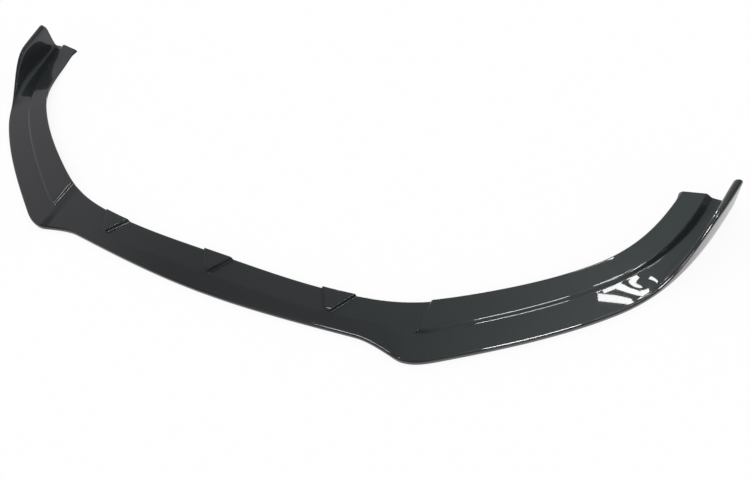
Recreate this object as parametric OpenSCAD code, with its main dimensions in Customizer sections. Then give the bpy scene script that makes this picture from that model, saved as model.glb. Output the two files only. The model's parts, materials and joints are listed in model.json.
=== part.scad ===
// Front splitter lip: one moulded skin that runs under the front bumper from one wheel arch to the other.
// X runs across the car, Y from the front edge back, Z up. The outer rim stands on Z = 0, and the origin
// is under the middle of the lip.

/* [Overall] */
// Width across the rear corners of the winglets
overall_w = 1798; // [1640:2:1940]
// From the front edge at the centre line back to the rear edge of the winglets
overall_d = 548; // [490:2:620]
// Thickness of the moulded skin
skin_t = 3.5; // [2.5:0.1:4.5]
// Radius that rounds the outer edge
edge_r = 4; // [2.5:0.1:5]
// Radius that breaks the upper corner of the inner edge
inner_r = 1.2; // [0.4:0.1:2]

/* [Centre blade] */
// Front to back width of the blade at the centre line
blade_d = 85; // [74:1:100]
// Height of the front face
face_h = 10; // [8:0.5:14]
// Height of the blade's upper surface
blade_z = 11; // [9:0.5:15]
// Distance from the centre line to where the front edge lies furthest back
bow_x = 325; // [318:1:350]
// How far back the front edge lies there
bow_d = 22; // [10:1:34]
// Front to back width of the blade there
bow_blade_d = 79; // [70:1:96]

/* [Fangs] */
// Distance from the centre line to the foremost point of each fang
fang_x = 418; // [410:1:426]
// How far that point lies behind the front edge's centre
fang_y = 9.3; // [4:0.1:14]
// Front to back width of the lip through the point of the fang
fang_d = 124; // [112:1:136]
// Height of the outer face from the fang back to the winglet
wing_face_h = 12; // [10:0.5:16]
// Height of the lower ledge along the wing
ledge_z = 12; // [10:0.5:14]

/* [Wings] */
// Distance of the middle of the wing's outer edge inside the overall width
belly_in = 157; // [145:1:170]
// Distance of that point behind the front edge's centre
belly_y = 232; // [220:1:246]
// Width of the wing there, from the outer to the inner edge
belly_w = 100; // [90:1:112]
// Width of the wing at its rear end
tail_w = 94; // [84:1:104]

/* [Raised flange] */
// Height of the flange that seats against the bumper
flange_z = 18; // [16:0.5:24]
// Height of the flange's outer side at the rear end
flange_tail_z = 12; // [9:0.5:15]
// Height of the flange's inner side at the rear end
flange_inner_z = 5; // [4.6:0.1:9]
// Where the flange starts to fall towards the rear end
flange_fall_y = 240; // [200:2:300]
// Length over which it falls
flange_fall_run = 240; // [200:5:300]
// Width of the flange at the point of the fang
flange_root_w = 66; // [58:1:70]
// Width of the flange at the rear end
flange_tail_w = 41; // [34:1:46]
// Sloping run of the step between the ledge and the flange
step_run = 5; // [3:0.5:8]
// The same at the rear end
step_tail_run = 14; // [6:0.5:17]
// Sloping run of the flange's front end
crease_run = 7; // [5:0.5:12]
// How far the rear end of the flange reaches behind the winglet
flange_reach = 2; // [0:0.5:16]
// Length of the turned-down corner at the flange's inner rear end
corner_l = 28; // [15:1:50]
// How far the foot of that corner stands out
corner_flare = 4; // [0:0.5:8]

/* [Winglets] */
// Height of the upturned winglets
winglet_h = 73.5; // [50:0.5:90]
// Where the outer edge starts to turn up
winglet_y = 278; // [262:2:300]
// Length over which it rises to full height
winglet_run = 167; // [140:1:200]
// How far the winglet leans in over its height
winglet_lean = 9; // [4:0.5:15]
// Radius of the crest at the rear end, where it is thickest
crest_r = 8; // [5:0.5:9]
// Distance from the outer edge to the end of the sweep inside the winglet, where the winglet rises
sweep_w = 38; // [30:1:44]
// The same at the rear end, where the sweep is tightest
sweep_tail_w = 23; // [19:0.5:34]
// Height of the channel floor beside the winglet at the rear end
channel_z = 5; // [4.6:0.1:8]
// Height of the solid crest above the hollow of the winglet
crest_h = 26; // [20:1:32]
// Radius that rounds the rear upper corner of the winglet
tip_r = 9; // [4:0.5:14]

/* [Wedges] */
// Distance of the outer wedges from the centre line
wedge_x = 264; // [235:1:272]
// Width of a wedge along the inner edge
wedge_w = 70; // [44:1:80]
// Length of a wedge, from the inner edge to its point
wedge_d = 46; // [34:1:50]
// Rise of a wedge above the blade
wedge_h = 8; // [4:0.5:10]
// Run of a wedge's sloping sides
wedge_run = 3.5; // [2:0.5:5]
// Width of a wedge's blunt point
wedge_point_w = 6; // [4:0.5:10]

/* [Hidden] */

body_colour = [0.17, 0.19, 0.195];

half_w = overall_w / 2;
origin_y = (overall_d + flange_reach) / 2;

// Rows of the plan: places along the lip where both edges are given
row_bow = 1;
row_brow = 2;
row_fang = 3;
row_cheek = 4;
row_belly = 5;
row_tail = 6;

// The brow is the stretch before the point of the fang, the cheek the one behind it
brow_in = 20;
brow_back = 4;
brow_blade_d = 109;
cheek_out = 64;
cheek_back = 25.7;
cheek_w = 126;

// Headings of both edges at each row, in degrees from the X axis
outer_turn = [0, 6, -13, -2, 33, 44.5, 74];
inner_turn = [0, 10, 22, 28, 31, 44.5, 73];

// Slope of the station across the wing at each row, in degrees from the X axis
across_turn = [90, 90, 88, 85.4, 91.8, 124, 180];

belly_x = half_w - belly_in;

// Power by which the flange narrows from its front end back
flange_taper = 4.5;

// Each row: x, y and heading of the outer edge
outer_rows = [
    [0, 0, outer_turn[0]],
    [bow_x, bow_d, outer_turn[row_bow]],
    [fang_x - brow_in, fang_y + brow_back, outer_turn[row_brow]],
    [fang_x, fang_y, outer_turn[row_fang]],
    [fang_x + cheek_out, fang_y + cheek_back, outer_turn[row_cheek]],
    [belly_x, belly_y, outer_turn[row_belly]],
    [half_w, overall_d, outer_turn[row_tail]]
];

// Width across the lip at each row
row_w = [blade_d, bow_blade_d, brow_blade_d, fang_d, cheek_w, belly_w, tail_w];

// Each row: x, y and heading of the inner edge
inner_rows = [for (i = [0:row_tail])
    [outer_rows[i].x + row_w[i] * cos(across_turn[i]),
     outer_rows[i].y + row_w[i] * sin(across_turn[i]),
     inner_turn[i]]
];

// Points on the rounds and on the sweep of one section
edge_steps = 4;
crest_steps = 2;
sweep_steps = 7;
outline_n = 1 + edge_steps + 1 + crest_steps + sweep_steps + 5;

// Stations along each stretch of the right half
blade_steps = 5;
brow_steps = 9;
root_steps = 5;
cheek_steps = 11;
wing_steps = 22;
tip_steps = 3;

// Share of a full quarter round that the rear upper corner of the winglet turns through
tip_share = 0.9;

// Share of the inner wall's height at which its points start
wall_from = 0.7;

// How much tighter than a plain quarter round the sweep turns at the foot of a winglet
sweep_bow = 3;

// Share of the last row over which the flange's end reaches back, and the share of that reach at the inner edge
reach_rows = 0.2;
reach_inner = 0.15;

// Plain strip kept beside each wedge, and how much narrower a wedge's flat top is than its point
wedge_clear = 8;
point_round = 1;

function mix(a, b, t) = a + (b - a) * t;
function clamp(t) = min(1, max(0, t));
function ease(t) = let (c = clamp(t)) c * c * (3 - 2 * c);
function turned(a) = [cos(a), sin(a)];
function flat(p) = [p.x, p.y];

// Cubic arc from row a to row b
function arc_point(a, b, t) =
    let (
        p = flat(a),
        q = flat(b),
        reach = norm(q - p) / 3,
        p_pull = p + reach * turned(a[2]),
        q_pull = q - reach * turned(b[2]),
        s = 1 - t
    )
    s * s * s * p + 3 * s * s * t * p_pull + 3 * s * t * t * q_pull + t * t * t * q;

// Point on the curve through the rows; u counts rows
function along(rows, u) = let (i = min(len(rows) - 2, floor(u))) arc_point(rows[i], rows[i + 1], u - i);

// Width of the strip inside the step line, at a station whose outer point lies at y
function flange_w(u, y) =
    u < row_fang ? mix(wedge_d - step_run, flange_root_w, ease(u - row_brow)) :
    mix(flange_tail_w, flange_root_w, pow(1 - clamp((y - fang_y) / (overall_d - fang_y)), flange_taper));

// Share of a row that the sloping front end of the flange takes up
crease_u = crease_run / norm(flat(outer_rows[row_cheek]) - flat(outer_rows[row_fang]));

// Drop of the winglet's crest where it rounds off at the rear end
function tip_drop(y) = let (t = clamp((y - overall_d + tip_r) / tip_r)) tip_r * (1 - sqrt(1 - tip_share * t * t));

// Heights of one station and the distances of its features from the outer edge
// [width, face height, lean, ledge height, flange height, step line, sweep end, inner rim height, its flare,
//  edge radius, run of the step, height of the flange's inner side]
// lift raises the strip inside the step line, as on a wedge
function measures(u, lift) =
    let (
        outer = along(outer_rows, u),
        inner = along(inner_rows, u),
        w = norm(inner - outer),
        wing = ease(u - row_brow),
        rise = ease((outer.y - winglet_y) / winglet_run),
        fall = ease((outer.y - flange_fall_y) / flange_fall_run),
        behind = ease((outer.y - winglet_y - winglet_run / 2) / (overall_d - winglet_y - winglet_run / 2)),
        ledge = mix(mix(blade_z, ledge_z, wing), channel_z, fall),
        raised = clamp((u - row_fang) / crease_u),
        step_n = w - flange_w(u, outer.y),
        run = mix(step_run, step_tail_run, fall),
        flange = mix(ledge, mix(flange_z, flange_tail_z, fall), raised) + lift,
        seat = mix(ledge, mix(flange_z, flange_inner_z, fall), raised) + lift,
        turned_down = ease(2 * (outer.y - overall_d + corner_l) / corner_l)
    )
    [
        w,
        mix(mix(face_h, wing_face_h, wing), winglet_h, rise) - tip_drop(outer.y),
        winglet_lean * rise,
        ledge,
        flange,
        step_n,
        min(mix(sweep_w, sweep_tail_w, behind), step_n - run - inner_r),
        (seat - skin_t) * (1 - turned_down),
        corner_flare * turned_down,
        mix(edge_r, crest_r, behind),
        run,
        seat
    ];

// Share of a winglet's full height that a face of height h has
function winged(h) = clamp((h - wing_face_h) / (winglet_h - wing_face_h));

// Distance from the outer edge along a sweep that leans out by lean on its way down from n to sweep_n
function swept(a, n, sweep_n, lean, rise) =
    mix(n, sweep_n + lean, pow(1 - cos(a), 1 + sweep_bow * rise)) - lean * sin(a);

// Upper outline of a section, from the foot of the outer face to the inner edge
function upper_outline(m) =
    let (
        w = m[0], h = m[1], lean = m[2], ledge = m[3], flange = m[4], step_n = m[5], sweep_n = m[6],
        r = m[9], run = m[10], seat = m[11],
        curl = clamp((h - ledge) / (4 * r)),
        drop = curl * r,
        crest_n = lean + 2 * r
    )
    concat(
        [[0, 0]],
        [for (i = [0:edge_steps]) let (a = 90 * i / edge_steps)
            [lean + r * (1 - cos(a)), h - r * (1 - sin(a))]],
        [for (i = [1:crest_steps]) let (a = 90 * i / crest_steps)
            [crest_n - r * (1 - sin(a)), h - drop * (1 - cos(a))]],
        [for (i = [1:sweep_steps]) let (a = 90 * i / sweep_steps)
            [swept(a, crest_n, sweep_n, lean, winged(h)), mix(h - drop, ledge, mix(1 - cos(a), sin(a), curl))]],
        [[step_n - run, ledge],
         [step_n, flange],
         [(step_n + w - inner_r) / 2, (flange + seat) / 2],
         [w - inner_r, seat],
         [w, seat - inner_r]]
    );

// Lower outline of the same section, one skin thickness inside the upper one and point by point beside it
function lower_outline(m) =
    let (
        w = m[0], h = m[1], lean = m[2], ledge = m[3], flange = m[4], step_n = m[5], sweep_n = m[6],
        rim_z = m[7], rim_n = w + m[8], r = m[9], run = m[10], seat = m[11],
        curl = clamp((h - ledge) / (4 * r)),
        top = h - mix(skin_t, crest_h, winged(h)),
        leant = lean * top / h,
        wall_n = leant + skin_t,
        slot_n = max(wall_n + 1, leant + 2 * r - skin_t),
        step_angle = atan2(flange - ledge, run),
        shift = skin_t * tan(step_angle / 2)
    )
    concat(
        [[skin_t, 0]],
        [for (i = [0:edge_steps]) let (t = mix(wall_from, 1, i / edge_steps))
            [skin_t + (wall_n - skin_t) * t, top * t]],
        [for (i = [1:crest_steps]) [mix(wall_n, slot_n, i / crest_steps), top]],
        [for (i = [1:sweep_steps]) let (a = 90 * i / sweep_steps)
            [swept(a, slot_n, sweep_n, leant, winged(h)), mix(top, ledge - skin_t, mix(1 - cos(a), sin(a), curl))]],
        [[step_n - run + shift, ledge - skin_t],
         [step_n + shift, flange - skin_t],
         [w - skin_t - inner_r, seat - skin_t],
         [rim_n - skin_t, rim_z],
         [rim_n, rim_z]]
    );

// Rearward reach of the flange's end at one point of a section
function tail_shift(u, m, n) =
    let (
        near = ease((u - row_tail) / reach_rows + 1),
        before = clamp((n - m[6]) / (m[5] - m[6])),
        beyond = clamp((n - m[5]) / (m[0] - m[5]))
    )
    flange_reach * near * before * mix(1, reach_inner, beyond);

// Point k of an outline in space
function placed(u, m, outline, k) =
    let (
        outer = along(outer_rows, u),
        inner = along(inner_rows, u),
        n = outline[k][0],
        p = mix(outer, inner, n / m[0])
    )
    [p.x, p.y + tail_shift(u, m, n), outline[k][1]];

// A station is [row count, shift at a wedge's point, shift along the inner edge, lift]
function plain(u) = [u, 0, 0, 0];

// A station line beside a wedge spreads from the wedge's point to its base
function station_point(station, k, inset, lower) =
    let (
        u = station[0],
        m = measures(u, station[3]),
        outline = lower ? lower_outline(m) : upper_outline(m),
        depth = clamp((outline[k][0] - m[0] + wedge_d) / wedge_d),
        shift = mix(station[1], station[2], depth),
        kept = sign(shift) * max(abs(shift) - inset, abs(shift) / 4),
        here = u + kept / bow_x,
        m_here = measures(here, station[3]),
        outline_here = lower ? lower_outline(m_here) : upper_outline(m_here)
    )
    placed(here, m_here, outline_here, k);

// The underside of a wedge is narrower by this much each side, which keeps the skin's thickness
wedge_inset = skin_t * tan(atan2(wedge_h, wedge_run) / 2);

function section(station) = concat(
    [for (k = [0:outline_n - 1]) station_point(station, k, 0, false)],
    [for (k = [outline_n - 1:-1:0]) station_point(station, k, wedge_inset, true)]
);

// Station lines of a wedge from its middle to its foot
wedge_half = [
    [0, 0, wedge_h],
    [wedge_point_w / 2 - point_round, wedge_w / 2 - wedge_run, wedge_h],
    [wedge_point_w / 2, wedge_w / 2, 0]
];

function wedge_lines(u, side) = [for (l = wedge_half) [u, side * l[0], side * l[1], l[2]]];
function backward(list) = [for (i = [len(list) - 1:-1:0]) list[i]];
function spread(from, to, count) = [for (i = [1:count]) plain(mix(from, to, i / count))];

// Stations of the right half, from the centre line to the rear end
wedge_u = wedge_x / bow_x;
wedge_reach = (wedge_w / 2 + wedge_clear) / bow_x;
tip_u = tip_r / norm(flat(outer_rows[row_tail]) - flat(outer_rows[row_belly]));
right_stations = concat(
    wedge_lines(0, 1),
    [plain(wedge_reach)],
    spread(wedge_reach, wedge_u - wedge_reach, blade_steps),
    backward(wedge_lines(wedge_u, -1)),
    [for (i = [1:2]) wedge_lines(wedge_u, 1)[i]],
    spread(wedge_u + wedge_reach, row_fang, brow_steps),
    [plain(row_fang + crease_u)],
    spread(row_fang + crease_u, row_cheek, root_steps),
    spread(row_cheek, row_belly, cheek_steps),
    spread(row_belly, row_tail - tip_u, wing_steps),
    spread(row_tail - tip_u, row_tail, tip_steps)
);

right_sections = [for (s = right_stations) section(s)];
left_sections = [for (i = [len(right_sections) - 1:-1:1])
    [for (p = right_sections[i]) [-p.x, p.y, p.z]]];

module splitter_lip() {
    sections = concat(left_sections, right_sections);
    ring = 2 * outline_n;
    count = len(sections);
    middle = len(left_sections);
    // The diagonals lean the other way on the left, so that both halves are alike
    sides = [for (i = [0:count - 2], k = [0:ring - 1])
        let (
            a = i * ring + k,
            b = i * ring + (k + 1) % ring,
            c = b + ring,
            d = a + ring
        )
        each i < middle ? [[a, b, d], [b, c, d]] : [[a, b, c], [a, c, d]]];
    ends = [for (k = [0:outline_n - 2])
        let (
            far = (count - 1) * ring,
            j = ring - 1 - k
        )
        each [[k, j, j - 1], [k, j - 1, k + 1], [far + k, far + j - 1, far + j], [far + k, far + k + 1, far + j - 1]]];
    color(body_colour)
        translate([0, -origin_y, 0])
            polyhedron([for (s = sections) each s], concat(sides, ends), convexity = 10);
}

splitter_lip();
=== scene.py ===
import json
import math

import bpy
from mathutils import Matrix, Vector

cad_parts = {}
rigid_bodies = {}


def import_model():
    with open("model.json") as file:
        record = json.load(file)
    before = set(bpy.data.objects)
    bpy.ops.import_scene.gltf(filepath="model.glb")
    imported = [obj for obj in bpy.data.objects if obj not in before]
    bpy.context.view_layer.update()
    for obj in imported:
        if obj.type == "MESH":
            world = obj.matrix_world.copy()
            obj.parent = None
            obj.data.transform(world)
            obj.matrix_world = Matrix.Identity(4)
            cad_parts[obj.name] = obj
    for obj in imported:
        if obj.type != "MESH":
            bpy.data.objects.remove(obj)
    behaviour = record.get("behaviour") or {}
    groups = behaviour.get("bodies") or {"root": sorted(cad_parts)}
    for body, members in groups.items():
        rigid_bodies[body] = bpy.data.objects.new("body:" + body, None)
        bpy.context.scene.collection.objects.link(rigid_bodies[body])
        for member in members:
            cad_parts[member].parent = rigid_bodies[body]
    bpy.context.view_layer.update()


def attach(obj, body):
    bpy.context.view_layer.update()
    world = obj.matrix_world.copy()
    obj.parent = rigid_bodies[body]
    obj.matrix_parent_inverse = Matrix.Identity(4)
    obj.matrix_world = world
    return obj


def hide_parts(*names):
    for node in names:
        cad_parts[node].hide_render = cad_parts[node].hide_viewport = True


for spare in list(bpy.data.objects):  # the start file's cube, lamp and camera
    bpy.data.objects.remove(spare)
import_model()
print("frame loaded")


class Wire:  # a node's output that can stand in a formula
    def __init__(self, graph, socket):
        self.graph, self.socket = graph, socket

    def pick(self, name):
        return Wire(self.graph, self.socket.node.outputs[name])

    def __add__(self, other):
        return self.graph.math("ADD", self, other)

    def __sub__(self, other):
        return self.graph.math("SUBTRACT", self, other)

    def __rsub__(self, other):
        return self.graph.math("SUBTRACT", other, self)

    def __mul__(self, other):
        return self.graph.math("MULTIPLY", self, other)

    def __truediv__(self, other):
        return self.graph.math("DIVIDE", self, other)

    def __rtruediv__(self, other):
        return self.graph.math("DIVIDE", other, self)

    def __pow__(self, other):
        return self.graph.math("POWER", self, other)

    def __gt__(self, other):
        return self.graph.math("GREATER_THAN", self, other)

    def __lt__(self, other):
        return self.graph.math("LESS_THAN", self, other)

    __radd__ = __add__
    __rmul__ = __mul__


class Graph:  # adds nodes to a shader or geometry tree
    def __init__(self, tree):
        self.tree = tree
        tree.nodes.clear()

    def node(self, kind, settings=None, sockets=None):
        made = self.tree.nodes.new(kind)
        for name, value in (settings or {}).items():
            if name == "choices":  # how many an Index Switch has
                for _ in range(value - len(made.index_switch_items)):
                    made.index_switch_items.new()
            else:
                setattr(made, name, value)
        for key, value in (sockets or {}).items():
            if isinstance(key, int):
                socket = made.inputs[key]
            else:
                socket = next(s for s in made.inputs if s.name == key and s.enabled)
            if isinstance(value, Wire):
                self.tree.links.new(value.socket, socket)
            elif socket.type == "RGBA":
                socket.default_value = (*value, 1)
            else:
                socket.default_value = value
        outputs = [s for s in made.outputs if s.enabled]
        return Wire(self, outputs[0]) if outputs else made

    def math(self, operation, *values, clamp=False):
        settings = {"operation": operation, "use_clamp": clamp}
        return self.node("ShaderNodeMath", settings, dict(enumerate(values)))

    def clamp(self, value):
        return self.math("ADD", value, 0.0, clamp=True)

    def smooth(self, value, low, high):  # eased from 0 at low to 1 at high
        return self.node("ShaderNodeMapRange", {"interpolation_type": "SMOOTHSTEP"},
                         {"Value": value, "From Min": low, "From Max": high})

    def mix(self, a, b, share):
        return self.node("ShaderNodeMix", {"data_type": "FLOAT"}, {"Factor": share, "A": a, "B": b})

    def mixColours(self, a, b, share):
        return self.node("ShaderNodeMix", {"data_type": "RGBA"}, {"Factor": share, "A": a, "B": b})

    def mixVectors(self, a, b, share):  # goes on past either end
        return self.node("ShaderNodeMix", {"data_type": "VECTOR", "clamp_factor": False},
                         {"Factor": share, "A": a, "B": b})

    def vector(self, x, y, z=0.0):
        return self.node("ShaderNodeCombineXYZ", None, {"X": x, "Y": y, "Z": z})

    def split(self, vector):
        parts = self.node("ShaderNodeSeparateXYZ", None, {"Vector": vector})
        return parts, parts.pick("Y"), parts.pick("Z")


# sizes that the wrap takes as its inputs, in metres; the tapers, bows and shares are plain numbers
lip = {
    "overall depth": 0.548, "skin": 0.0035, "edge radius": 0.004, "inner radius": 0.0012,
    "face height": 0.010, "wing face height": 0.012, "blade height": 0.011, "ledge height": 0.012,
    "flange height": 0.018, "flange tail height": 0.012, "flange inner height": 0.005,
    "flange fall start": 0.240, "flange fall length": 0.240, "flange reach": 0.002,
    "flange root width": 0.066, "flange tail width": 0.041, "flange taper": 4.5,
    "step run": 0.005, "step tail run": 0.014, "crease run": 0.007,
    "corner length": 0.028, "corner flare": 0.004,
    "winglet height": 0.0735, "winglet start": 0.278, "winglet run": 0.167, "winglet lean": 0.009,
    "crest radius": 0.008, "crest depth": 0.026, "least slot": 0.001, "channel height": 0.005,
    "sweep width": 0.038, "sweep tail width": 0.023, "sweep bow": 3.0,
    "tip radius": 0.009, "tip share": 0.9, "wedge depth": 0.046, "wedge height": 0.008,
}
wedge = {
    "spacing": 0.264, "width": 0.070, "run": 0.0035, "point width": 0.006, "point round": 0.001,
    "point gap": 0.0006, "base gap": 0.0012, "clearance": 0.006,
}

rowBow, rowBrow, rowFang, rowCheek, rowBelly, rowTail = range(1, 7)
halfWidth = 1.798 / 2
originY = (lip["overall depth"] + lip["flange reach"]) / 2
bowX, fangX, fangY = 0.325, 0.418, 0.0093

# the plan, from the middle to the rear end: each row has x, y and heading of the outer edge, then width,
# direction and heading of the inner edge, with angles in degrees
rows = [
    (0.0, 0.0, 0, 0.085, 90, 0),
    (bowX, 0.022, 6, 0.079, 90, 10),
    (fangX - 0.020, fangY + 0.004, -13, 0.109, 88, 22),
    (fangX, fangY, -2, 0.124, 85.4, 28),
    (fangX + 0.064, fangY + 0.0257, 33, 0.126, 91.8, 31),
    (halfWidth - 0.157, 0.232, 44.5, 0.100, 124, 44.5),
    (halfWidth, lip["overall depth"], 74, 0.094, 180, 73),
]
railSteps = 64


def across(degrees):
    return Vector((math.cos(math.radians(degrees)), math.sin(math.radians(degrees)), 0))


def rail(name, points):  # a curve through the rows, with each row's heading
    data = bpy.data.curves.new(name, "CURVE")
    data.dimensions, data.resolution_u = "3D", railSteps
    spline = data.splines.new("BEZIER")
    spline.bezier_points.add(len(points) - 1)
    for i, (place, heading) in enumerate(points):
        knot = spline.bezier_points[i]
        pull = across(heading)
        before = (place - points[max(i - 1, 0)][0]).length / 3
        after = (points[min(i + 1, len(points) - 1)][0] - place).length / 3
        knot.handle_left_type = knot.handle_right_type = "FREE"
        knot.co, knot.handle_left, knot.handle_right = place, place - pull * before, place + pull * after
    made = bpy.data.objects.new(name, data)
    bpy.context.collection.objects.link(made)
    return made


outerPoints = [(Vector((x, y, 0)), turn) for x, y, turn, *_ in rows]
innerPoints = [(Vector((x, y, 0)) + across(slant) * width, turn) for x, y, _, width, slant, turn in rows]
outerRail = rail("outerRail", outerPoints)
innerRail = rail("innerRail", innerPoints)
print("rails made:", len(rows), "rows")

# the section's parts from the foot of the outer face to the inner rim, and the places of its lines in each
sectionParts = [
    ("wall", [0, 0.5]),
    ("edge", [0, 0.25, 0.5, 0.75, 1]),
    ("crest", [0.5, 1]),
    ("sweep", [i / 8 for i in range(1, 9)]),
    ("ledge", [0.5, 0.94]),
    ("step", [0, 0.2, 0.5, 0.8, 1]),
    ("flange", [0.05, 0.5, 0.95]),
    ("innerEdge", [0, 0.5, 1]),
    ("innerFace", [0.6, 1]),
]
partNames = [name for name, _ in sectionParts]

# how many stations lie between the rows, and where they lie in the short stretches
net = {
    "between wedges": 8, "wedge to brow": 9, "brow to fang": 7, "crease": (0.15, 0.38, 0.62, 0.85, 1.0),
    "crease to cheek": 8, "cheek to belly": 20, "belly to tip": 24, "tip": (0.35, 0.62, 0.82, 0.95, 1.0),
    "wedge point": (0, 0.3, 0.5), "wedge slope": 4, "rim crease": 0.6,
}


def between(start, end, turns):  # stations without a shift or lift
    return [(start + (end - start) * turn, 0, 0, 0) for turn in turns]


def spread(start, end, count):
    return [(start + (end - start) * i / count, 0, 0, 0) for i in range(1, count + 1)]


def rowLength(a, b):
    return (outerPoints[b][0] - outerPoints[a][0]).length


def wedgeLines(row, side):  # stations from a wedge's middle to its foot: row, shift at point and base, lift
    point, base = wedge["point width"] / 2, wedge["width"] / 2
    topPlaces = (0, base / 2, base - wedge["run"] - wedge["base gap"])
    lines = [(row, side * share * point, side * place, 1)
             for share, place in zip(net["wedge point"], topPlaces)]
    for i in range(net["wedge slope"] + 1):
        t = i / net["wedge slope"]
        pointPlace, basePlace = point - wedge["point round"] * (1 - t), base - wedge["run"] * (1 - t)
        lines.append((row, side * pointPlace, side * basePlace, 1 - t * t * (3 - 2 * t)))
    lines.append((row, side * (point + wedge["point gap"]), side * (base + wedge["base gap"]), 0))
    return lines


def rightStations():
    wedgeRow = wedge["spacing"] / bowX
    clear = (wedge["width"] / 2 + wedge["clearance"]) / bowX
    creaseEnd = rowFang + lip["crease run"] / rowLength(rowFang, rowCheek)
    tipStart = rowTail - lip["tip radius"] / rowLength(rowBelly, rowTail)
    made = wedgeLines(0, 1) + [(clear, 0, 0, 0)]
    made += spread(clear, wedgeRow - clear, net["between wedges"])
    made += wedgeLines(wedgeRow, -1)[:0:-1] + wedgeLines(wedgeRow, 1) + [(wedgeRow + clear, 0, 0, 0)]
    made += spread(wedgeRow + clear, rowBrow, net["wedge to brow"])
    made += spread(rowBrow, rowFang, net["brow to fang"])
    made += between(rowFang, creaseEnd, net["crease"])
    made += spread(creaseEnd, rowCheek, net["crease to cheek"])
    made += spread(rowCheek, rowBelly, net["cheek to belly"])
    made += spread(rowBelly, tipStart, net["belly to tip"])
    made += between(tipStart, rowTail, net["tip"])
    return made


def patternMesh():  # the lip's net of faces, laid out flat: x is the row, y the line of the section
    lines = [(part, turn) for part, (_, turns) in enumerate(sectionParts) for turn in turns]
    ring = [(part, turn, 0) for part, turn in lines] + [(part, turn, 1) for part, turn in reversed(lines)]
    right = [(station, 1) for station in rightStations()]
    stations = [(station, -1) for station, _ in right[:0:-1]] + right
    wedgeSlope = math.atan2(lip["wedge height"], wedge["run"])
    inset = lip["skin"] * math.tan(wedgeSlope / 2)  # a wedge is narrower below, which keeps the skin
    leastShare = 0.25  # of its width, which is kept below in any case
    step, inner, depth = lip["step run"], lip["inner radius"], lip["wedge depth"]
    columns = {"row": [], "turn": [], "under": [], "lift": [], "side": []}
    parts, places = [], []
    for (row, pointShift, baseShift, lift), side in stations:
        for k, (part, turn, under) in enumerate(ring):
            if partNames[part] == "step":
                behind = step * turn
            elif partNames[part] == "flange":
                behind = step + turn * (depth - step - inner)
            else:
                behind = depth if part > partNames.index("flange") else 0
            shift = pointShift + (baseShift - pointShift) * behind / depth
            kept = math.copysign(max(abs(shift) - inset * under, abs(shift) * leastShare), shift)
            columns["row"].append(max(0, row + kept / bowX))
            columns["turn"].append(turn)
            columns["under"].append(under)
            columns["lift"].append(lift)
            columns["side"].append(side)
            parts.append(part)
            places.append((row, k, 0))
    count, size = len(stations), len(ring)
    faces = [(i * size + k, (i + 1) * size + k, (i + 1) * size + (k + 1) % size, i * size + (k + 1) % size)
             for i in range(count - 1) for k in range(size)]
    for k in range(size // 2 - 1):  # the two ends
        end = (count - 1) * size
        faces.append((k, k + 1, size - 2 - k, size - 1 - k))
        faces.append((end + k, end + size - 1 - k, end + size - 2 - k, end + k + 1))
    data = bpy.data.meshes.new("lipPattern")
    data.from_pydata(places, [], faces)
    for name, values in columns.items():
        data.attributes.new(name, "FLOAT", "POINT").data.foreach_set("value", values)
    data.attributes.new("part", "INT", "POINT").data.foreach_set("value", parts)
    rims = {0, size // 2 - 1, size // 2, size - 1}
    creases = []
    for edge in data.edges:
        a, b = edge.vertices
        alongRim = a % size == b % size and a % size in rims
        atEnd = a // size == b // size and a // size in (0, count - 1)
        creases.append(net["rim crease"] if alongRim or atEnd else 0.0)
    data.attributes.new("crease_edge", "FLOAT", "EDGE").data.foreach_set("value", creases)
    made = bpy.data.objects.new("splitterLip", data)
    bpy.context.collection.objects.link(made)
    return made


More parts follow.
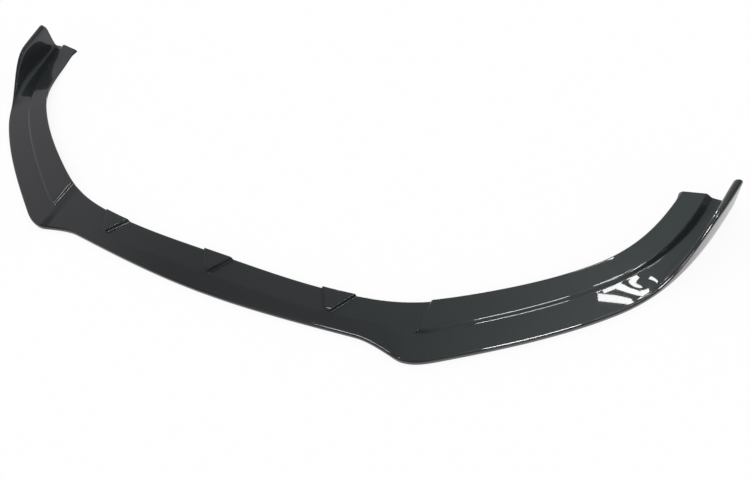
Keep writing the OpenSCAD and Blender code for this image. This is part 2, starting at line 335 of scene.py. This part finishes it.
def wrapTree():  # wraps the flat net round the two rails
    tree = bpy.data.node_groups.new("wrapLip", "GeometryNodeTree")
    tree.interface.new_socket("Geometry", in_out="INPUT", socket_type="NodeSocketGeometry")
    tree.interface.new_socket("Geometry", in_out="OUTPUT", socket_type="NodeSocketGeometry")
    for name in ("outer rail", "inner rail"):
        tree.interface.new_socket(name, in_out="INPUT", socket_type="NodeSocketObject")
    for name, value in lip.items():
        tree.interface.new_socket(name, in_out="INPUT", socket_type="NodeSocketFloat").default_value = value
    tree.interface.new_socket("finish", in_out="INPUT", socket_type="NodeSocketMaterial")
    g = Graph(tree)
    given = g.node("NodeGroupInput")
    size = {name: given.pick(name) for name in lip}

    def attribute(name, kind="FLOAT"):
        return g.node("GeometryNodeInputNamedAttribute", {"data_type": kind}, {"Name": name})

    row, turn, under = attribute("row"), attribute("turn"), attribute("under")
    lift, side, part = attribute("lift"), attribute("side"), attribute("part", "INT")

    def railPoint(name):  # the rail's place at this row, between two of its evaluated points
        shape = g.node("GeometryNodeObjectInfo", None, {"Object": given.pick(name)}).pick("Geometry")
        points = g.node("GeometryNodeCurveToPoints", {"mode": "EVALUATED"}, {"Curve": shape})
        place = g.node("GeometryNodeInputPosition")
        step = g.math("FLOOR", g.math("MINIMUM", row * railSteps, rowTail * railSteps - 1))
        ends = [g.node("GeometryNodeSampleIndex", {"data_type": "FLOAT_VECTOR"},
                       {"Geometry": points, "Value": place, "Index": step + i}) for i in (0, 1)]
        return g.mixVectors(ends[0], ends[1], row * railSteps - step)

    outer, inner = railPoint("outer rail"), railPoint("inner rail")
    y = g.split(outer)[1]
    width = g.node("ShaderNodeVectorMath", {"operation": "DISTANCE"}, {0: outer, 1: inner}).pick("Value")
    depth, skin, innerRadius = (size[name] for name in ("overall depth", "skin", "inner radius"))

    # how far each change along the lip has come here, from 0 to 1
    wing = g.smooth(row, rowBrow, rowFang)
    creaseRows = size["crease run"] / rowLength(rowFang, rowCheek)
    raised = g.smooth(row, rowFang, creaseRows + rowFang)
    rise = g.smooth(y, size["winglet start"], size["winglet start"] + size["winglet run"])
    fall = g.smooth(y, size["flange fall start"], size["flange fall start"] + size["flange fall length"])
    behind = g.smooth(y, size["winglet start"] + size["winglet run"] / 2, depth)
    taper = (1 - g.clamp((y - fangY) / (depth - fangY))) ** size["flange taper"]
    turnedDown = g.smooth(y, depth - size["corner length"], depth - size["corner length"] / 2)

    # the flat parts: heights of the ledge, the flange and its inner rim, and the step between them
    ledge = g.mix(g.mix(size["blade height"], size["ledge height"], wing), size["channel height"], fall)
    wedgeRise = size["wedge height"] * lift
    flange = g.mix(ledge, g.mix(size["flange height"], size["flange tail height"], fall), raised) + wedgeRise
    seat = g.mix(ledge, g.mix(size["flange height"], size["flange inner height"], fall), raised) + wedgeRise
    frontStrip = g.mix(size["wedge depth"] - size["step run"], size["flange root width"], wing)
    rearStrip = g.mix(size["flange tail width"], size["flange root width"], taper)
    stepEnd = width - g.mix(frontStrip, rearStrip, row > rowFang)
    stepRun = g.mix(size["step run"], size["step tail run"], fall)
    stepFoot = stepEnd - stepRun
    rimHeight = (seat - skin) * (1 - turnedDown)
    rimReach = width + size["corner flare"] * turnedDown

    # the outer face, which grows into the winglet, its crest and the sweep inside it
    curlRadii = 4  # the crest curls down while the face rises over this many radii
    tipTurn = g.clamp((y - depth + size["tip radius"]) / size["tip radius"])
    tipDrop = size["tip radius"] * (1 - g.math("SQRT", 1 - size["tip share"] * tipTurn * tipTurn))
    faceHeight = g.mix(size["face height"], size["wing face height"], wing)
    height = g.mix(faceHeight, size["winglet height"], rise) - tipDrop
    lowest, highest = size["wing face height"], size["winglet height"]
    winged = g.clamp((height - lowest) / (highest - lowest))
    radius = g.mix(size["edge radius"], size["crest radius"], behind)
    lean = size["winglet lean"] * rise
    curl = g.clamp((height - ledge) / (radius * curlRadii))
    drop = curl * radius
    crestEnd = lean + radius * 2
    sweepWidth = g.mix(size["sweep width"], size["sweep tail width"], behind)
    sweepEnd = g.math("MINIMUM", sweepWidth, stepFoot - innerRadius)

    # the hollow below
    roof = height - g.mix(skin, size["crest depth"], winged)
    leant = lean * roof / height
    wallEnd = leant + skin
    slotEnd = g.math("MAXIMUM", wallEnd + size["least slot"], leant + radius * 2 - skin)
    slope = g.math("ARCTAN2", flange - ledge, stepRun)
    shift = skin * g.math("TANGENT", slope / 2)
    hemTop = width - skin - innerRadius
    hemMiddle = g.mix(hemTop, rimReach - skin, 0.5)
    hemMiddleHeight = g.mix(seat - skin, rimHeight, 0.5)
    wallShare = 0.7  # how far the wall's lines go up the hollow; the edge's lines go on from there
    wallTurn = g.mix(wallShare, 1.0, turn)

    # each part of the section above and below: distance from the outer edge, height
    sine, cosine = g.math("SINE", turn * (math.pi / 2)), g.math("COSINE", turn * (math.pi / 2))
    eased = g.smooth(turn, 0.0, 1.0)
    bend = g.mix(1 - cosine, sine, curl)
    swept = (1 - cosine) ** (size["sweep bow"] * winged + 1)
    above = {
        "wall": (lean * turn, (height - radius) * turn),
        "edge": (lean + radius * (1 - cosine), height - radius * (1 - sine)),
        "crest": (crestEnd - radius * (1 - sine), height - drop * (1 - cosine)),
        "sweep": (g.mix(crestEnd, sweepEnd + lean, swept) - lean * sine, g.mix(height - drop, ledge, bend)),
        "ledge": (g.mix(sweepEnd, stepFoot, turn), ledge),
        "step": (g.mix(stepFoot, stepEnd, turn), g.mix(ledge, flange, eased)),
        "flange": (g.mix(stepEnd, width - innerRadius, turn), g.mix(flange, seat, turn)),
        "innerEdge": (width - innerRadius * (1 - sine), seat - innerRadius * (1 - cosine)),
        "innerFace": (g.mix(width, rimReach, turn), g.mix(seat - innerRadius, rimHeight, turn)),
    }
    below = {
        "wall": (g.mix(skin, wallEnd, turn * wallShare), roof * turn * wallShare),
        "edge": (g.mix(skin, wallEnd, wallTurn), roof * wallTurn),
        "crest": (g.mix(wallEnd, slotEnd, turn), roof),
        "sweep": (g.mix(slotEnd, sweepEnd + leant, swept) - leant * sine, g.mix(roof, ledge - skin, bend)),
        "ledge": (g.mix(sweepEnd, stepFoot + shift, turn), ledge - skin),
        "step": (g.mix(stepFoot, stepEnd, turn) + shift, g.mix(ledge, flange, turn) - skin),
        "flange": (g.mix(stepEnd + shift, hemTop, turn), g.mix(flange, seat, turn) - skin),
        "innerEdge": (g.mix(hemTop, rimReach - skin, turn * 0.5), g.mix(seat - skin, rimHeight, turn * 0.5)),
        "innerFace": (g.mix(hemMiddle, rimReach - skin, turn), g.mix(hemMiddleHeight, rimHeight, turn)),
    }

    def byPart(pairs):
        places = {i: g.vector(*pairs[name]) for i, name in enumerate(partNames, 1)}
        return g.node("GeometryNodeIndexSwitch", {"data_type": "VECTOR", "choices": len(partNames)},
                      {"Index": part, **places})

    reach, up, _ = g.split(g.mixVectors(byPart(above), byPart(below), under))

    # the flange's rear end reaches back a little, least at its rim
    reachRows, rimShare = 0.2, 0.15
    near = g.smooth(row, rowTail - reachRows, rowTail)
    before = g.clamp((reach - sweepEnd) / (stepEnd - sweepEnd))
    beyond = g.clamp((reach - stepEnd) / (width - stepEnd))
    tailShift = size["flange reach"] * near * before * g.mix(1.0, rimShare, beyond)
    placeX, placeY, _ = g.split(g.mixVectors(outer, inner, reach / width))
    place = g.vector(placeX * side, placeY + tailShift - originY, up)

    # the cloth runs over the crest and down the outer face, unrolled into the plan
    outside = part < partNames.index("edge") + 0.5
    upright = (part > partNames.index("edge") + 0.5) * (part < partNames.index("sweep") + 0.5)
    fold = outside * ((height - ledge) + (height - up)) + upright * (up - ledge)
    clothX, clothY, _ = g.split(g.mixVectors(outer, inner, (reach - fold) / width))
    cloth = g.vector(clothX * side, clothY)
    shape = g.node("GeometryNodeStoreNamedAttribute", {"data_type": "FLOAT2", "domain": "CORNER"},
                   {"Geometry": given.pick("Geometry"), "Name": "cloth", "Value": cloth})
    shape = g.node("GeometryNodeSetPosition", None, {"Geometry": shape, "Position": place})
    shape = g.node("GeometryNodeSubdivisionSurface", None,
                   {"Mesh": shape, "Level": 1, "Edge Crease": attribute("crease_edge")})
    shape = g.node("GeometryNodeSetShadeSmooth", None, {"Geometry": shape})
    shape = g.node("GeometryNodeRealizeInstances", None, {"Geometry": shape})
    shape = g.node("GeometryNodeSetMaterial", None, {"Geometry": shape, "Material": given.pick("finish")})
    g.node("NodeGroupOutput", None, {"Geometry": shape})
    return tree


def makeLip(finish):
    pattern = patternMesh()
    tree = wrapTree()
    wrap = pattern.modifiers.new("wrap", "NODES")
    wrap.node_group = tree
    values = dict(lip, **{"outer rail": outerRail, "inner rail": innerRail, "finish": finish})
    for socket in tree.interface.items_tree:
        if socket.in_out == "INPUT" and socket.name in values:
            wrap[socket.identifier] = values[socket.name]
    evaluated = pattern.evaluated_get(bpy.context.evaluated_depsgraph_get())
    data = bpy.data.meshes.new_from_object(evaluated)
    pattern.modifiers.remove(wrap)
    pattern.data = data
    for name in ("row", "turn", "under", "lift", "side", "part", "crease_edge"):
        if name in data.attributes:
            data.attributes.remove(data.attributes[name])
    for spare in (outerRail, innerRail):
        bpy.data.objects.remove(spare)
    return pattern


twill = {
    "tow": 0.0018, "dark": (0.0115, 0.0132, 0.0144), "light": (0.0155, 0.0176, 0.0190),
    "warp share": 0.7, "crown share": 0.3, "mottle": 0.25, "mottle scale": 7.0,
    "base roughness": 0.34, "crown roughness": 0.06, "speck roughness": 0.12, "speck scale": 900.0,
    "specular level": 0.12, "coat roughness": 0.02, "coat IOR": 1.5,
    "ripple scale": 60.0, "ripple depth": 0.0004, "ripple strength": 0.10,
}


def twillFinish():  # a two by two twill beneath a clear lacquer
    finish = bpy.data.materials.new("glossTwill")
    finish.use_nodes = True
    g = Graph(finish.node_tree)
    u, v, _ = g.split(g.node("ShaderNodeUVMap", {"uv_map": "cloth"}))
    sideways, lengthways = u / twill["tow"], v / twill["tow"]
    column, line = g.math("FLOOR", sideways), g.math("FLOOR", lengthways)
    warpUp = g.math("FLOORED_MODULO", column - line, 4.0) > 1.5  # two of every four, one step along each line
    warpRound = 1 - g.math("PINGPONG", sideways, 0.5) * 2
    weftRound = 1 - g.math("PINGPONG", lengthways, 0.5) * 2
    crown = g.mix(1 - weftRound * weftRound, 1 - warpRound * warpRound, warpUp)
    place = g.node("ShaderNodeTexCoord").pick("Object")

    def noise(scale, detail):
        sockets = {"Vector": place, "Scale": scale, "Detail": detail}
        return g.node("ShaderNodeTexNoise", None, sockets).pick("Fac")

    cloud = noise(twill["mottle scale"], detail=2.0)
    specks = noise(twill["speck scale"], detail=1.0)
    ripple = noise(twill["ripple scale"], detail=2.0)
    share = warpUp * twill["warp share"] + crown * twill["crown share"] + (cloud - 0.5) * twill["mottle"]
    colour = g.mixColours(twill["dark"], twill["light"], g.clamp(share))
    roughness = twill["base roughness"] + (specks - 0.5) * twill["speck roughness"]
    roughness = roughness + crown * twill["crown roughness"]
    bump = g.node("ShaderNodeBump", None, {
        "Strength": twill["ripple strength"], "Distance": twill["ripple depth"], "Height": ripple})
    shader = g.node("ShaderNodeBsdfPrincipled", None, {
        "Base Color": colour, "Roughness": roughness, "Normal": bump,
        "Specular IOR Level": twill["specular level"], "Coat Weight": 1.0,
        "Coat Roughness": twill["coat roughness"], "Coat IOR": twill["coat IOR"]})
    g.node("ShaderNodeOutputMaterial", None, {"Surface": shader})
    return finish


glossTwill = twillFinish()
print("finish made")
splitterLip = makeLip(glossTwill)
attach(splitterLip, "root")
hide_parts("splitter_lip")
print("lip made:", len(splitterLip.data.polygons), "faces")

view = {  # angles in radians
    "place": (0.6068646, -0.6018374, 0.8844208),
    "turn": 0.5362237591, "tilt": 0.9377514132, "roll": -0.1500557437,
    "lens": 26.488, "sensor": 36.0, "clip start": 0.05,
}


def makeCamera():
    data = bpy.data.cameras.new("camera")
    data.lens, data.sensor_width, data.clip_start = view["lens"], view["sensor"], view["clip start"]
    made = bpy.data.objects.new("camera", data)
    bpy.context.collection.objects.link(made)
    turned = Matrix.Rotation(view["turn"], 4, "Z") @ Matrix.Rotation(math.pi / 2 - view["tilt"], 4, "X")
    turned = turned @ Matrix.Rotation(view["roll"], 4, "Z")
    made.matrix_world = Matrix.Translation(view["place"]) @ turned
    bpy.context.scene.camera = made


floor = {
    "size": 60.0, "colour": (0.86, 0.86, 0.86),
    "white share": 0.88, "gloss share": 0.9, "gloss white": 0.72,
}


def makeFloor():  # white to the camera, dimmer to the gloss, and plain to the light
    half = floor["size"] / 2
    data = bpy.data.meshes.new("floor")
    corners = [(-half, -half, 0), (half, -half, 0), (half, half, 0), (-half, half, 0)]
    data.from_pydata(corners, [], [(0, 1, 2, 3)])
    made = bpy.data.objects.new("floor", data)
    bpy.context.collection.objects.link(made)
    paint = bpy.data.materials.new("paleFloor")
    paint.use_nodes = True
    g = Graph(paint.node_tree)
    path = g.node("ShaderNodeLightPath")
    clear = g.math("MAXIMUM", path.pick("Is Camera Ray"), path.pick("Is Transmission Ray"))
    seen = g.math("MAXIMUM", clear * floor["white share"], path.pick("Is Glossy Ray") * floor["gloss share"])
    lit = g.node("ShaderNodeBsdfDiffuse", None, {"Color": floor["colour"]})
    bright = g.mix(1.0, floor["gloss white"], path.pick("Is Glossy Ray"))
    white = g.node("ShaderNodeEmission", None, {"Color": (1, 1, 1), "Strength": bright})
    shown = g.node("ShaderNodeMixShader", None, {0: seen, 1: lit, 2: white})
    g.node("ShaderNodeOutputMaterial", None, {"Surface": shown})
    data.materials.append(paint)


# strengths and tints, then where each change starts and ends in the direction that a ray goes
sky = {
    "diffuse": 1.12, "dark side": 0.14, "bright side": 0.58,
    "left": 0.5, "right share": 0.35, "low right": 0.85,
    "left tint": (0.95, 0.91, 0.95), "middle tint": (0.95, 1.0, 1.06), "right tint": (0.80, 0.96, 0.96),
    "beyond": (0.15, 0.6), "from left": (-0.72, -0.58), "to right": (0.14, 0.3),
    "tint to right": (-0.4, -0.15),
    "low to right": (0.45, 0.65), "low ends above": (0.25, 0.5), "low ends beyond": (0.0, 0.2),
}


def makeSky():  # white to the camera; to the gloss a room, dark behind the camera and bright beyond the lip
    world = bpy.data.worlds.new("room")
    bpy.context.scene.world = world
    world.use_nodes = True
    g = Graph(world.node_tree)
    path = g.node("ShaderNodeLightPath")
    right, beyond, up = g.split(g.node("ShaderNodeTexCoord").pick("Generated"))
    gloss = g.mix(sky["dark side"], sky["bright side"], g.smooth(beyond, *sky["beyond"]))
    gloss = g.mix(sky["left"], gloss, g.smooth(right, *sky["from left"]))
    gloss = gloss * g.mix(1.0, sky["right share"], g.smooth(right, *sky["to right"]))
    low = 1 - g.smooth(up, *sky["low ends above"])
    low = g.smooth(right, *sky["low to right"]) * low * (1 - g.smooth(beyond, *sky["low ends beyond"]))
    gloss = g.mix(gloss, sky["low right"], low)
    clear = g.math("MAXIMUM", path.pick("Is Camera Ray"), path.pick("Is Transmission Ray"))
    strength = g.mix(g.mix(sky["diffuse"], gloss, path.pick("Is Glossy Ray")), 1.0, clear)
    tint = g.mixColours(sky["left tint"], sky["middle tint"], g.smooth(right, *sky["from left"]))
    tint = g.mixColours(tint, sky["right tint"], g.smooth(right, *sky["tint to right"]))
    colour = g.mixColours((1, 1, 1), tint, path.pick("Is Glossy Ray"))
    light = g.node("ShaderNodeBackground", None, {"Color": colour, "Strength": strength})
    g.node("ShaderNodeOutputWorld", None, {"Surface": light})


# lamps: place, tilt and turn in degrees (untilted they face down), size, power
lamps = {
    # the window that the right wing mirrors
    "windowLow": ((1.0, 1.297, 2.0), 0, 14, (0.19, 0.05), 0.62),
    "windowSide": ((0.965, 1.355, 2.0), 0, 45, (0.10, 0.02), 0.13),
    "windowHigh": ((1.055, 1.412, 2.0), 0, 15, (0.13, 0.055), 0.48),
    "windowEnd": ((1.13, 1.55, 2.0), 0, 65, (0.14, 0.02), 0.18),
    "windowThird": ((0.77, 1.73, 2.0), 0, 8, (0.40, 0.15), 3.8),
    "windowLine": ((1.30, 1.84, 2.0), 0, 67, (0.22, 0.010), 0.15),
    # the glints on edges, steps and wedges
    "overhead": ((1.12, 0.17, 2.0), 0, 37, (0.63, 0.45), 40.0),
    "overheadFar": ((1.82, 0.95, 2.0), 0, 54, (1.3, 0.12), 5.0),
    "front": ((-0.25, -0.6, 2.0), 0, -65, (0.55, 0.15), 8.0),
    "creaseSpot": ((1.70, 1.20, 2.0), 0, 0, (0.28, 0.28), 10.0),
    "wedgeSpot": ((1.75, -0.75, 2.0), 0, 0, (0.4, 0.3), 10.0),
    "softFront": ((-0.6, -2.2, 2.6), 0, 0, (2.0, 1.4), 8.0),
    # low lamps beyond the lip
    "backLeft": ((-0.80, 2.5, 0.22), -90, 0, (0.16, 0.4), 5.5),
    "backMiddle": ((-0.52, 2.5, 0.22), -90, 0, (0.14, 0.4), 5.0),
}


def makeLamps():
    for name, (place, tilt, turn, (width, height), power) in lamps.items():
        data = bpy.data.lights.new(name, "AREA")
        data.shape, data.size, data.size_y, data.energy = "RECTANGLE", width, height, power
        made = bpy.data.objects.new(name, data)
        turned = Matrix.Rotation(math.radians(turn), 4, "Z") @ Matrix.Rotation(math.radians(tilt), 4, "X")
        made.matrix_world = Matrix.Translation(place) @ turned
        made.visible_diffuse = False  # a highlight in the lacquer, and no light on the colour
        bpy.context.collection.objects.link(made)


makeCamera()
makeFloor()
print("camera and floor made")
makeSky()
makeLamps()
bpy.context.scene.view_settings.view_transform = "Standard"
print("light made:", len(lamps), "lamps")
